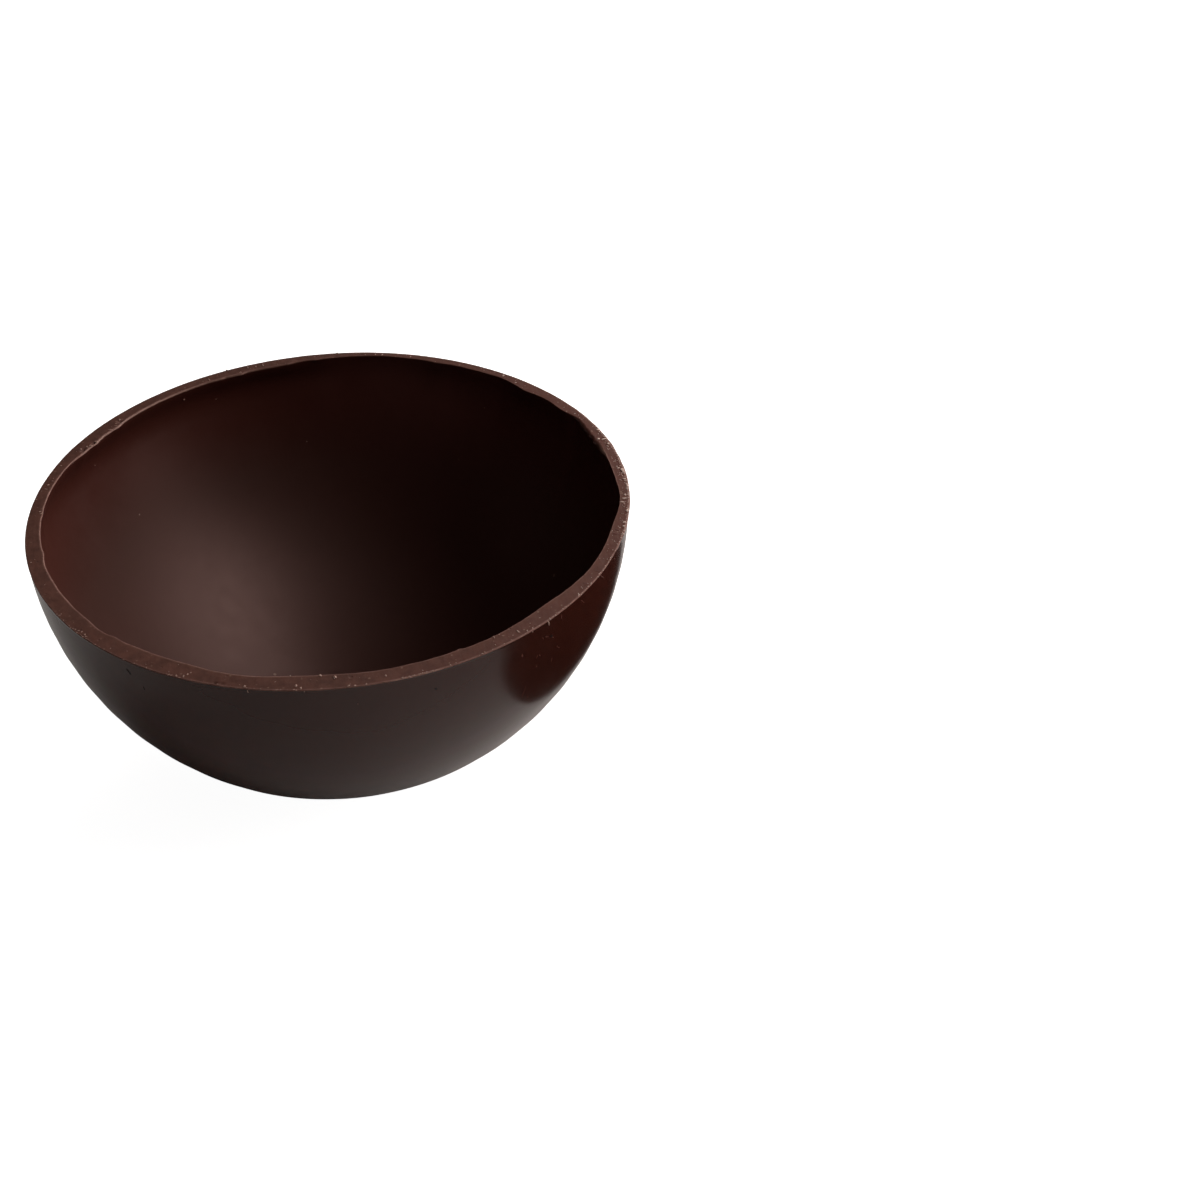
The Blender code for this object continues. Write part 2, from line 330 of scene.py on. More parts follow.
class ShellSizes(bpy.types.PropertyGroup):
    """The sizes of the chocolate shell"""

    wall_under_rim: Length(
        name="Wall under the Rim",
        description="Mean thickness of the shell just below its rim",
        default=1.75 * MM,
    )
    wall_at_pole: Length(
        name="Wall at the Bottom",
        description="Thickness of the shell at its lowest place",
        default=2.0 * MM,
    )
    edge_rounding: Length(
        name="Edge Rounding",
        description="Radius of the crisp inner edge of the rim face",
        default=0.09 * MM,
    )
    lip_overhang: Length(
        name="Lip Overhang",
        description="How far the scraped lip stands out past the ball",
        default=0.06 * MM,
    )
    lip_height: Length(
        name="Lip Height",
        description="Height of the scraped lip",
        default=0.5 * MM,
    )
    rest_spot: Length(
        name="Resting Spot",
        description="Radius of the flat spot that the shell stands on",
        default=4.0 * MM,
    )
    thick_side: FloatProperty(
        name="Thick Side",
        description="Direction in which the wall is thickest",
        default=math.radians(249.0),
        subtype="ANGLE",
    )
    thick_side_extra: Length(
        name="Thick Side Extra",
        description="How much thicker the wall is there than its mean",
        default=0.77 * MM,
    )
    scrape_depth: Length(
        name="Scrape Depth",
        description="How far the scraped face lies below the tops of its crumbs",
        default=0.02 * MM,
    )
    segments: IntProperty(
        name="Segments",
        description="Divisions round the shell",
        default=1100,
        min=90,
    )
    crumbs: IntProperty(
        name="Crumbs",
        description="Number of small scattered crumbs on the rim",
        default=240,
        min=0,
    )


class ChocolateFinish(bpy.types.PropertyGroup):
    """The colours of the chocolate's surfaces"""

    moulded: Colour(
        name="Moulded",
        description="Colour of the glossy outside",
        default=(0.044, 0.0104, 0.0066),
    )
    free: Colour(
        name="Free",
        description="Colour of the satin inside",
        default=(0.0455, 0.0152, 0.0106),
    )
    scraped: Colour(
        name="Scraped",
        description="Colour of the scraped rim face",
        default=(0.115, 0.0475, 0.0350),
    )
    broken: Colour(
        name="Broken",
        description="Colour of crumbs and burrs",
        default=(0.45, 0.27, 0.215),
    )
    scuffed: Colour(
        name="Scuffed",
        description="Colour of the faint scuffs of the outside",
        default=(0.13, 0.042, 0.030),
    )
    # the dents' dark colour is painted shade
    dent_shade: Colour(
        name="Dent Shade",
        description="Colour of the small dents of the outside",
        default=(0.012, 0.004, 0.003),
    )


class StageLook(bpy.types.PropertyGroup):
    """The floor and the lights"""

    floor: Colour(
        name="Floor",
        description="Colour of the floor",
        default=(0.80, 0.80, 0.80),
    )
    light: Colour(
        name="Light",
        description="Colour of the softboxes",
        default=(1.0, 0.93, 0.88),
    )
    wall_softbox: Power(
        name="Wall Softbox",
        description="Power of the large softbox at the right",
        default=10.3,
    )
    side_softbox: Power(
        name="Side Softbox",
        description="Power of the small low softbox at the right and back",
        default=1.2,
    )
    top_softbox: Power(
        name="Top Softbox",
        description="Power of the softbox high at the right and front",
        default=0.5,
    )
    front_softbox: Power(
        name="Front Softbox",
        description="Power of the softbox high above the camera",
        default=0.12,
    )
    overhead_softbox: Power(
        name="Overhead Softbox",
        description="Power of the softbox over the shell",
        default=0.2,
    )
    fill_softbox: Power(
        name="Fill Softbox",
        description="Power of the weak softbox at the left",
        default=0.14,
    )


class Shell:
    """Where the shell's surfaces are. Degrees go from +X towards +Y, depths down from the rim."""

    LEAN_DEPTH = 8.0 * MM  # depth over which the thick side evens out
    RUN_DEPTH = 1.9 * MM  # depth over which a thicker rim evens out
    RUN_BLEND = 0.15 * MM  # how softly a thicker rim passes into a thinner one
    NICK_DEPTH = 0.5 * MM  # the same for the fine nicks of the edge
    HOLLOW_TOP = 2.2 * MM  # depth at which the inside has mostly stepped back
    HOLLOW_DEPTH = 7.0 * MM  # depth over which it comes forward again
    ROUGH_LIP = (335.0, 380.0, 12.0)  # first and last degrees, and its soft ends
    EVEN_LIP = 0.25  # how rough the lip is everywhere

    def __init__(self, sizes):
        self.sizes = sizes
        self.ball = RIM_RADIUS - sizes.lip_overhang
        self.top = RIM_TOP - sizes.scrape_depth
        self.centre = RIM_TOP

    @cache
    def rounding(self, degrees):
        """Radius of the rounding between the rim face and the inside."""
        sag = sum(extra * MM * plateau(degrees, *stretch) for *stretch, extra in SAGS)
        return self.sizes.edge_rounding + sag

    @cache
    def rim_width(self, degrees):
        """Width of the rim face, with a crisp inner edge and without its nicks."""
        return on_curve(RIM_WIDTHS, degrees) * MM

    @cache
    def nicks(self, degrees):
        """How much wider the fine nicks and ripples make the rim face."""
        wave = MM * ripples(degrees, NICK_WAVES)
        return wave + sum(extra * MM * hump(degrees, *spot) for *spot, extra in EDGE_NICKS)

    @cache
    def hollow(self, degrees):
        """How far the inside steps back under the rim."""
        return max(0.0, on_curve(HOLLOWS, degrees)) * MM

    # how worn the lip is, with the highlight painted along it
    @cache
    def lip_wear_and_highlight(self, degrees):
        wear_and_highlight = on_curve(LIP_WEAR_AND_HIGHLIGHT, degrees) + ripples(degrees, LIP_WEAR_AND_HIGHLIGHT_WAVES)
        return min(1.0, max(0.0, wear_and_highlight))

    # how worn the inner edge is, with the highlight painted along it
    @cache
    def edge_wear(self, degrees):
        wear_and_highlight = on_curve(EDGE_WEAR_AND_HIGHLIGHT, degrees) + ripples(degrees, EDGE_WEAR_AND_HIGHLIGHT_WAVES)
        return min(1.0, max(0.0, wear_and_highlight))

    @cache
    def lip(self, degrees):
        """How far the lip stands out here."""
        rough = self.EVEN_LIP + plateau(degrees, *self.ROUGH_LIP)
        ragged = ripples(degrees, LIP_WAVES)
        flare = max(0.0, on_curve(LIP_FLARES, degrees)) * MM
        return self.sizes.lip_overhang * (1.0 + rough * ragged) + flare

    def even_wall(self, degrees, depth):
        """Thickness of the shell here without what set uneven under the rim."""
        sizes = self.sizes
        lean = math.cos(math.radians(degrees) - sizes.thick_side) * sizes.thick_side_extra
        change = (sizes.wall_at_pole - sizes.wall_under_rim) * (depth / self.ball) ** 2
        return sizes.wall_under_rim + change + lean * fade(depth, self.LEAN_DEPTH)

    def wall(self, degrees, depth):
        """Thickness of the shell here, before the inner edge is rounded."""
        sizes = self.sizes
        past_ball = RIM_RADIUS - self.ball
        at_rim = self.rim_width(degrees) - sizes.edge_rounding + self.rounding(degrees) - past_ball
        run = at_rim - self.even_wall(degrees, 0.0)
        thicker = (run + math.hypot(run, self.RUN_BLEND)) / 2
        run = thicker * fade(depth, self.RUN_DEPTH) + (run - thicker) * fade(depth, self.LEAN_DEPTH)
        band = (1.0 - fade(depth, self.HOLLOW_TOP)) * fade(depth, self.HOLLOW_DEPTH)
        nicks = self.nicks(degrees) * fade(depth, self.NICK_DEPTH)
        return self.even_wall(degrees, depth) + run + nicks - self.hollow(degrees) * band

    @cache
    def rim_edge(self, degrees):
        """Radius at which the rim face ends at the lip."""
        return self.ball + LIP_FORM[-1][1] * self.lip(degrees)

    @cache
    def rim_inner(self, degrees):
        """Radius at which the rim face ends at the inside."""
        return self.ball - self.wall(degrees, 0.0) + self.rounding(degrees)

    def scrape(self, degrees, radius):
        """How far the rim face lies below its plane here: fine chatter and chips."""
        across = RIM_RADIUS - radius
        spot = place(degrees, radius, 0.0) / MM
        depth = sum(height * MM * noise.noise(spot * dense) for height, dense in SCRAPE_WAVES)
        for middle, half, inward, width, deep in CHIPS:
            near = hump(degrees, middle, half)
            if near > FAINTEST_CHIP:
                aside = (across - inward * MM) / (width * MM)
                depth += deep * MM * near * math.exp(-(aside**2))
        return depth

    def rim_point(self, degrees, share):
        """Radius and height on the rim face; share runs from the lip to the inner edge."""
        outer, inner = self.rim_edge(degrees), self.rim_inner(degrees)
        radius = outer + (inner - outer) * share
        return radius, self.top - self.scrape(degrees, radius)

    def lip_point(self, degrees, share, form):
        """Radius and height on the lip; share of its height, form of its overhang."""
        depth = self.sizes.lip_height * share
        radius = self.ball + self.lip(degrees) * form
        return radius, self.top - depth - self.scrape(degrees, radius) * max(0.0, 1.0 - share)

    def outside_point(self, degrees, depth):
        """Radius and height on the ball."""
        return math.sqrt(max(0.0, self.ball**2 - depth**2)), self.centre - depth

    def edge_point(self, degrees, turn):
        """Radius and height on the rounding of the inner edge; turn runs from 0 to 90 degrees."""
        rounding = self.rounding(degrees)
        angle = math.radians(turn)
        radius = self.rim_inner(degrees) - rounding * math.sin(angle)
        chipped = self.scrape(degrees, radius) * math.cos(angle)
        return radius, self.top - rounding * (1.0 - math.cos(angle)) - chipped

    def inside_point(self, degrees, depth):
        """Radius and height on the inside at a nominal depth."""
        reach = self.ball - self.wall(degrees, depth)
        turn = math.asin(min(1.0, depth / self.ball))
        return reach * math.cos(turn), self.centre - reach * math.sin(turn)

    def near_edge_point(self, degrees, below):
        """Radius and height on the inside, a little below the end of the rounding."""
        lowest = self.rounding(degrees) + self.centre - self.top + below
        inner = self.ball - self.rim_width(degrees)
        return self.inside_point(degrees, lowest * self.ball / inner)

    def top_height(self, degrees, radius):
        """Height of the shell's top here, from the lip to the end of the inner rounding."""
        rounding = self.rounding(degrees)
        past = min(rounding, max(0.0, self.rim_inner(degrees) - radius))
        round_edge = math.sqrt(rounding**2 - past**2)
        return self.top - rounding + round_edge - self.scrape(degrees, radius)


def place(degrees, radius, height):
    turn = math.radians(degrees)
    return Vector((radius * math.cos(turn), radius * math.sin(turn), height))


def shell_rings(shell):
    """One entry per ring of the section, from the resting spot over the rim to the inside: the
    surface that the ring ends, a function that gives radius and height from degrees, and how much
    of the lip's and of the inner edge's wear and painted highlight it has."""
    deepest = math.sqrt(shell.ball**2 - shell.sizes.rest_spot**2)
    rings = [("outside", lambda degrees: (shell.sizes.rest_spot, 0.0), 0.0, 0.0)]
    depths = [shell.ball * math.sin(math.radians(arc)) for arc in OUTSIDE_ARCS]
    depths = [depth for depth in depths if depth < deepest]
    for depth in depths + [depth * MM for depth in OUTSIDE_DEPTHS]:
        rings.append(("outside", partial(shell.outside_point, depth=depth), 0.0, 0.0))
    for share, form in LIP_FORM:
        surface, worn_and_highlit = ("rim", 1.0) if share < SCRAPED_SHARE else ("outside", 0.0)
        rings.append((surface, partial(shell.lip_point, share=share, form=form), worn_and_highlit, 0.0))
    for share in RIM_SHARES:
        outer = max(0.0, 1.0 - share / OUTER_WORN_AND_HIGHLIT)
        inner = max(0.0, 1.0 - (1.0 - share) / INNER_WORN_AND_HIGHLIT)
        rings.append(("rim", partial(shell.rim_point, share=share), outer, inner))
    for turn in EDGE_TURNS:
        worn_and_highlit = LAST_TURN_WEAR_AND_HIGHLIGHT if turn == EDGE_TURNS[-1] else 1.0
        rings.append(("edge", partial(shell.edge_point, turn=turn), 0.0, worn_and_highlit))
    for below in INNER_DEPTHS:
        rings.append(("inside", partial(shell.near_edge_point, below=below * MM), 0.0, 0.0))
    for arc in INSIDE_ARCS:
        depth = shell.ball * math.sin(math.radians(arc))
        rings.append(("inside", partial(shell.inside_point, depth=depth), 0.0, 0.0))
    return rings


def mesh_object(mesh, name, materials):
    """Makes the bmesh an object that stays at the origin."""
    data = bpy.data.meshes.new(name)
    mesh.to_mesh(data)
    mesh.free()
    for material in materials:
        data.materials.append(material)
    made = bpy.data.objects.new(name, data)
    bpy.context.scene.collection.objects.link(made)
    return made


def finish_piece(mesh, name, materials):
    """Makes the bmesh a piece that rides on the shell's body."""
    piece = mesh_object(mesh, name, materials)
    piece.data.shade_smooth()
    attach(piece, BODY)
    return piece


def surface_of(face, number, rings, shell):
    """The surface that a face belongs to, from the rings that it lies between."""
    lowest, last = (pick(vert[number] for vert in face.verts) for pick in (min, max))
    if lowest == 0:
        return "outside" if last == 1 else "inside"
    surface = rings[last - 1][0]
    if surface == "edge":
        middle = face.calc_center_median()
        rounding = shell.rounding(math.degrees(math.atan2(middle.y, middle.x)))
        return "rim" if rounding < CRISP_EDGE * shell.sizes.edge_rounding else "inside"
    return surface


def build_shell(settings, materials):
    """Turns the half section once round the axis and sets every vertex to its place."""
    shell = Shell(settings)
    rings = shell_rings(shell)
    mesh = bmesh.new()
    number = mesh.verts.layers.int.new("ring")
    wear_and_highlight = mesh.verts.layers.float.new(WEAR_AND_HIGHLIGHT)
    section = [mesh.verts.new((0.0, 0.0, 0.0))]
    for index, (_, point, _, _) in enumerate(rings):
        radius, height = point(math.degrees(settings.thick_side))
        section.append(mesh.verts.new((radius, 0.0, height)))
        section[-1][number] = index + 1
    section.append(mesh.verts.new((0.0, 0.0, shell.centre - shell.ball + settings.wall_at_pole)))
    edges = [mesh.edges.new(pair) for pair in zip(section, section[1:])]
    bmesh.ops.spin(
        mesh,
        geom=section + edges,
        axis=(0.0, 0.0, 1.0),
        cent=(0.0, 0.0, 0.0),
        steps=settings.segments // RING_CUTS,
        angle=2.0 * math.pi,
        use_merge=True,
    )
    bmesh.ops.remove_doubles(mesh, verts=mesh.verts, dist=MERGE_DISTANCE)
    round_edges = [edge for edge in mesh.edges if edge.verts[0][number] == edge.verts[1][number]]
    bmesh.ops.subdivide_edges(mesh, edges=round_edges, cuts=RING_CUTS - 1)
    steps = settings.segments // RING_CUTS * RING_CUTS
    for vert in mesh.verts:
        if vert[number]:
            turn = math.atan2(vert.co.y, vert.co.x) / (2.0 * math.pi)
            degrees = round(turn * steps) % steps * 360.0 / steps
            _, point, lip, edge = rings[vert[number] - 1]
            vert.co = place(degrees, *point(degrees))
            # each vertex takes the wear of the lip and of the inner edge, with their painted
            # highlight
            vert[wear_and_highlight] = lip * shell.lip_wear_and_highlight(degrees) + edge * shell.edge_wear(degrees)
    bmesh.ops.recalc_face_normals(mesh, faces=mesh.faces)
    slots = ("outside", "rim", "inside")
    for face in mesh.faces:
        face.material_index = slots.index(surface_of(face, number, rings, shell))
    piece = finish_piece(mesh, "chocolate_shell", materials)
    piece.data.set_sharp_from_angle(angle=SHARPEST_SMOOTH)
    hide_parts(NODE)
    return piece


def add_crumb(mesh, centre, axes, sizes, seed, detail=MEDIUM, surface=0):
    """A small broken lump: a ball squeezed along its three axes and roughened."""
    turn = Matrix(axes).transposed().to_4x4()
    scale = Matrix.Diagonal((*sizes, 1.0))
    verts = bmesh.ops.create_icosphere(mesh, subdivisions=detail, radius=1.0)["verts"]
    shift = Vector([seed * step for step in CRUMB_STEPS])
    place_there = Matrix.Translation(centre) @ turn @ scale
    for vert in verts:
        rough = 1.0 + CRUMB_ROUGHNESS * noise.noise(vert.co * CRUMB_WAVES + shift)
        vert.co = place_there @ (vert.co * rough)
    for face in {face for vert in verts for face in vert.link_faces}:
        face.material_index = surface


def add_rim_crumb(
    mesh, shell, degrees, inward, length, width, turn, seed, rise=0.3, detail=MEDIUM, surface=0
):
    """A crumb lying on the rim; rise is its half height as a share of its width."""
    radius = RIM_RADIUS - inward * MM
    along = Matrix.Rotation(math.radians(turn), 3, UP) @ place(degrees, 1.0, 0.0)
    height = shell.top_height(degrees, radius) + CRUMB_LIFT * rise * width * MM
    sizes = (length / 2 * MM, width / 2 * MM, rise * width * MM)
    centre = place(degrees, radius, height)
    add_crumb(mesh, centre, (along, UP.cross(along), UP), sizes, seed, detail, surface)


def add_broken_crumb(mesh, shell, draw, degrees, inward, length, width, turn, seed):
    """A larger crumb with a few splinters round it."""
    add_rim_crumb(mesh, shell, degrees, inward, length, width, turn, seed, detail=FINE)
    for splinter in range(FEWEST_SPLINTERS + round(length / SPLINTER_EVERY)):
        ahead = draw.uniform(*SPLINTER_AHEAD) * length
        aside = draw.uniform(*SPLINTER_ASIDE) * width
        lean = math.radians(turn)
        out = ahead * math.cos(lean) - aside * math.sin(lean)
        round_rim = ahead * math.sin(lean) + aside * math.cos(lean)
        small = draw.uniform(*SPLINTER_WIDTH) * min(width, WIDEST_SPLINTER)
        add_rim_crumb(
            mesh,
            shell,
            degrees + math.degrees(round_rim * MM / RIM_RADIUS),
            inward - out,
            small * draw.uniform(*SPLINTER_LENGTH),
            small,
            draw.uniform(*ANY_TURN),
            seed + splinter * SPLINTER_STEP,
            rise=0.4,
            detail=COARSE,
        )


def add_outside_mark(mesh, shell, mark, seed, thickness, surface):
    """A thin burr, scratch edge or dent on the outside, lying in the shell's surface; a dent is a
    dark spot of painted shade.
    """
    degrees, depth, length, width, turn = mark
    if depth * MM < shell.sizes.lip_height:
        radius, height = shell.ball + BURR_SHARE * shell.lip(degrees), shell.top - depth * MM
    else:
        radius, height = shell.outside_point(degrees, depth * MM)
    out = (place(degrees, radius, height) - UP * shell.centre).normalized()
    side = UP.cross(out).normalized()
    spin = Matrix.Rotation(math.radians(turn), 3, out)
    axes = (spin @ out.cross(side), spin @ side, out)
    sizes = (length / 2 * MM, width / 2 * MM, thickness * width * MM)
    add_crumb(mesh, place(degrees, radius, height), axes, sizes, seed, FINE, surface)


def draw_size(draw, least, most, longest):
    """Length, width and turn of a small crumb drawn at random."""
    size = draw.uniform(least, most)
    return size * draw.uniform(1.0, longest), size, draw.uniform(*ANY_TURN)


def broken_crumbs(mesh, shell, draw):
    """The larger crumbs on the rim, each with its splinters."""
    for seed, crumb in enumerate(RIM_CRUMBS):
        add_broken_crumb(mesh, shell, draw, *crumb, seed)


def lip_crumbs(mesh, shell, draw):
    """The ridges of small crumbs along the lip."""
    for first, last, number in LIP_RIDGES:
        for _ in range(number):
            spot = draw.uniform(first, last), draw.uniform(*RIDGE_INWARD)
            size = draw_size(draw, *RIDGE_SIZES)
            seed = draw.random() * SEED_SPREAD
            add_rim_crumb(mesh, shell, *spot, *size, seed, detail=COARSE)


def scattered_crumbs(mesh, shell, draw):
    """The small crumbs all over the rim, half of them crowded in one place."""
    for _ in range(shell.sizes.crumbs):
        crowded = draw.random() < CROWDED_SHARE
        degrees = draw.gauss(*CROWDED_PLACE) if crowded else draw.uniform(0.0, 360.0)
        reach = CROWDED_REACH if crowded else FULL_REACH
        inward = draw.random() * reach * shell.rim_width(degrees) / MM
        size = draw_size(draw, *SCATTERED_SIZES)
        seed = draw.random() * SEED_SPREAD
        add_rim_crumb(mesh, shell, degrees, inward, *size, seed, detail=COARSE)


def outside_marks(mesh, shell, draw):
    """The burrs, scuffs and dents of the outside, the dents as dark spots of painted shade, and the
    flakes on the rim.
    """
    # In the order of their materials: (marks, first seed, half thickness over width)
    kinds = ((WALL_BURRS, 300, 0.35), (WALL_SCUFFS, 350, 0.2), (WALL_DENT_SHADES, 400, 0.06))
    for surface, (marks, first_seed, thickness) in enumerate(kinds):
        for seed, mark in enumerate(marks, first_seed):
            add_outside_mark(mesh, shell, mark, seed, thickness, surface)
    for seed, flake in enumerate(RIM_FLAKES, FLAKE_SEED):
        add_rim_crumb(mesh, shell, *flake, seed, rise=0.07, detail=FINE, surface=1)


def inside_specks(mesh, shell, draw):
    """The few specks on the inside."""
    for seed, (degrees, depth, size) in enumerate(INSIDE_SPECKS, SPECK_SEED):
        centre = place(degrees, *shell.inside_point(degrees, depth * MM))
        inward = (UP * shell.centre - centre).normalized()
        side = inward.orthogonal().normalized()
        sizes = (size / 2 * MM, size / 2 * MM, size * SPECK_RISE * MM)
        add_crumb(mesh, centre, (side, inward.cross(side), inward), sizes, seed)


def build_crumbs(settings, materials):
    """The crumbs on the scraped rim, the marks on the outside and the specks on the inside."""
    shell = Shell(settings)
    draw = random.Random(CRUMB_SEED)
    mesh = bmesh.new()
    for add in (broken_crumbs, lip_crumbs, scattered_crumbs, outside_marks, inside_specks):
        group = bmesh.new()
        add(group, shell, draw)
        bmesh.ops.recalc_face_normals(group, faces=group.faces)
        held = bpy.data.meshes.new("crumb_group")
        group.to_mesh(held)
        group.free()
        mesh.from_mesh(held)
        bpy.data.meshes.remove(held)
    piece = finish_piece(mesh, "rim_crumbs", materials)
    piece.data.shade_flat()
    return piece


NOISE_ENDS = (0.3, 0.7)  # between which noise mostly lies


class Nodes:
    """The nodes of one material or group, with short ways to add to them."""

    def __init__(self, tree):
        self.nodes, self.links = tree.nodes, tree.links

    def feed(self, socket, value):
        """Sets the socket, or links it where the value comes from another socket."""
        if isinstance(value, bpy.types.NodeSocket):
            self.links.new(value, socket)
        else:
            socket.default_value = value

    def noise(self, vector, scale, detail=4.0, roughness=0.55):
        node = self.nodes.new("ShaderNodeTexNoise")
        self.feed(node.inputs["Vector"], vector)
        self.feed(node.inputs["Scale"], scale)
        self.feed(node.inputs["Detail"], detail)
        self.feed(node.inputs["Roughness"], roughness)
        return node.outputs["Fac"]

    def span(self, value, source, target):
        """The value, moved from one range to another and kept within it."""
        node = self.nodes.new("ShaderNodeMapRange")
        self.feed(node.inputs["Value"], value)
        ends = ("From Min", "From Max", "To Min", "To Max")
        for name, end in zip(ends, (*source, *target)):
            self.feed(node.inputs[name], end)
        return node.outputs["Result"]

    def math(self, operation, first, second):
        node = self.nodes.new("ShaderNodeMath")
        node.operation = operation
        self.feed(node.inputs[0], first)
        self.feed(node.inputs[1], second)
        return node.outputs["Value"]

    def bump(self, height, distance, strength, before=None):
        """Bumps of this height, over the bumps that were there before."""
        node = self.nodes.new("ShaderNodeBump")
        self.feed(node.inputs["Height"], height)
        node.inputs["Distance"].default_value = distance
        node.inputs["Strength"].default_value = strength
        if before is not None:
            self.feed(node.inputs["Normal"], before)
        return node.outputs["Normal"]

    def lighten(self, colour, mask, pale):
        """The colour, with a paler one where the mask is."""
        node = self.nodes.new("ShaderNodeMix")
        node.data_type = "RGBA"
        factor, ground, cover = node.inputs["Factor"], node.inputs[6], node.inputs[7]
        self.feed(factor, mask)
        self.feed(ground, colour)
        self.feed(cover, (*pale, 1.0))
        return node.outputs[2]


class Group(Nodes):
    """A shader node group; each input is given as its name, its kind and its value."""

    KINDS = {"vector": "NodeSocketVector", "colour": "NodeSocketColor", "value": "NodeSocketFloat"}

    def __init__(self, name, inputs, outputs):
        self.tree = bpy.data.node_groups.new(name, "ShaderNodeTree")
        super().__init__(self.tree)
        for socket, kind, value in (("Vector", "vector", (0.0, 0.0, 0.0)), *inputs):
            self.add_socket(socket, "INPUT", kind).default_value = value
        for socket, kind in outputs:
            self.add_socket(socket, "OUTPUT", kind)
        self.given = self.nodes.new("NodeGroupInput").outputs
        self.result = self.nodes.new("NodeGroupOutput").inputs

    def add_socket(self, name, direction, kind):
        return self.tree.interface.new_socket(
            name=name, in_out=direction, socket_type=self.KINDS[kind]
        )


def mottle_group():
    """Two browns of chocolate that run into each other in soft patches."""
    inputs = (
        ("Brown", "colour", (0.05, 0.01, 0.01, 1.0)),
        ("Deep", "value", 0.7),
        ("Scale", "value", 80.0),
    )
    group = Group("chocolate_mottle", inputs, (("Colour", "colour"),))
    patches = group.noise(group.given["Vector"], group.given["Scale"], 5.0)
    shade = group.span(patches, (0.32, 0.68), (group.given["Deep"], 1.0))
    tint = group.nodes.new("ShaderNodeVectorMath")
    tint.operation = "SCALE"
    group.feed(tint.inputs[0], group.given["Brown"])
    group.feed(tint.inputs["Scale"], shade)
    group.feed(group.result["Colour"], tint.outputs["Vector"])
    return group.tree


def streak_group():
    """Long faint marks, as a cloth or a scraper leaves them."""
    inputs = (
        ("Turn", "vector", (0.0, 0.0, 0.0)),
        ("Stretch", "vector", (1.0, 1.0, 1.0)),
        ("Scale", "value", 400.0),
    )
    group = Group("fine_streaks", inputs, (("Value", "value"),))
    mapping = group.nodes.new("ShaderNodeMapping")
    group.feed(mapping.inputs["Vector"], group.given["Vector"])
    group.feed(mapping.inputs["Rotation"], group.given["Turn"])
    group.feed(mapping.inputs["Scale"], group.given["Stretch"])
    marks = group.noise(mapping.outputs["Vector"], group.given["Scale"], 6.0, 0.6)
    group.feed(group.result["Value"], group.span(marks, NOISE_ENDS, (0.0, 1.0)))
    return group.tree


def speck_group():
    """Sparse round specks: 1 on a speck and 0 elsewhere."""
    inputs = (("Scale", "value", 600.0), ("Share", "value", 0.1), ("Size", "value", 0.25))
    group = Group("sparse_specks", inputs, (("Mask", "value"),))
    cells = group.nodes.new("ShaderNodeTexVoronoi")
    group.feed(cells.inputs["Vector"], group.given["Vector"])
    group.feed(cells.inputs["Scale"], group.given["Scale"])
    chosen = group.nodes.new("ShaderNodeSeparateColor")
    group.feed(chosen.inputs["Color"], cells.outputs["Color"])
    kept = group.math("LESS_THAN", chosen.outputs["Red"], group.given["Share"])
    size = group.math("MULTIPLY", group.given["Size"], chosen.outputs["Green"])
    ratio = group.math("DIVIDE", cells.outputs["Distance"], size)
    spot = group.span(ratio, (0.6, 1.0), (1.0, 0.0))
    group.feed(group.result["Mask"], group.math("MULTIPLY", spot, kept))
    return group.tree


def grain_group():
    """Fine unevenness: its height, and a value between two ends that goes with it."""
    inputs = (
        ("Scale", "value", 2600.0),
        ("Detail", "value", 3.0),
        ("Roughness", "value", 0.55),
        ("Least", "value", 0.0),
        ("Most", "value", 1.0),
    )
    group = Group("fine_grain", inputs, (("Height", "value"), ("Value", "value")))
    grain = group.noise(*(group.given[name] for name in ("Vector", "Scale", "Detail", "Roughness")))
    value = group.span(grain, NOISE_ENDS, (group.given["Least"], group.given["Most"]))
    group.feed(group.result["Height"], grain)
    group.feed(group.result["Value"], value)
    return group.tree


def wear_and_highlight_group():
    """How worn the surface is along its edges, with the highlight painted along them, broken up
    finely.
    """
    inputs = (("Scale", "value", 1100.0), ("Least", "value", 0.45))
    group = Group("edge_wear", inputs, (("Mask", "value"),))
    worn_and_highlit = group.nodes.new("ShaderNodeAttribute")
    worn_and_highlit.attribute_name = WEAR_AND_HIGHLIGHT
    breaks = group.noise(group.given["Vector"], group.given["Scale"])
    share = group.span(breaks, NOISE_ENDS, (group.given["Least"], 1.0))
    group.feed(group.result["Mask"], group.math("MULTIPLY", worn_and_highlit.outputs["Fac"], share))
    return group.tree


GROUP_MAKERS = {
    "chocolate_mottle": mottle_group,
    "fine_streaks": streak_group,
    "sparse_specks": speck_group,
    "fine_grain": grain_group,
    "edge_wear": wear_and_highlight_group,
}


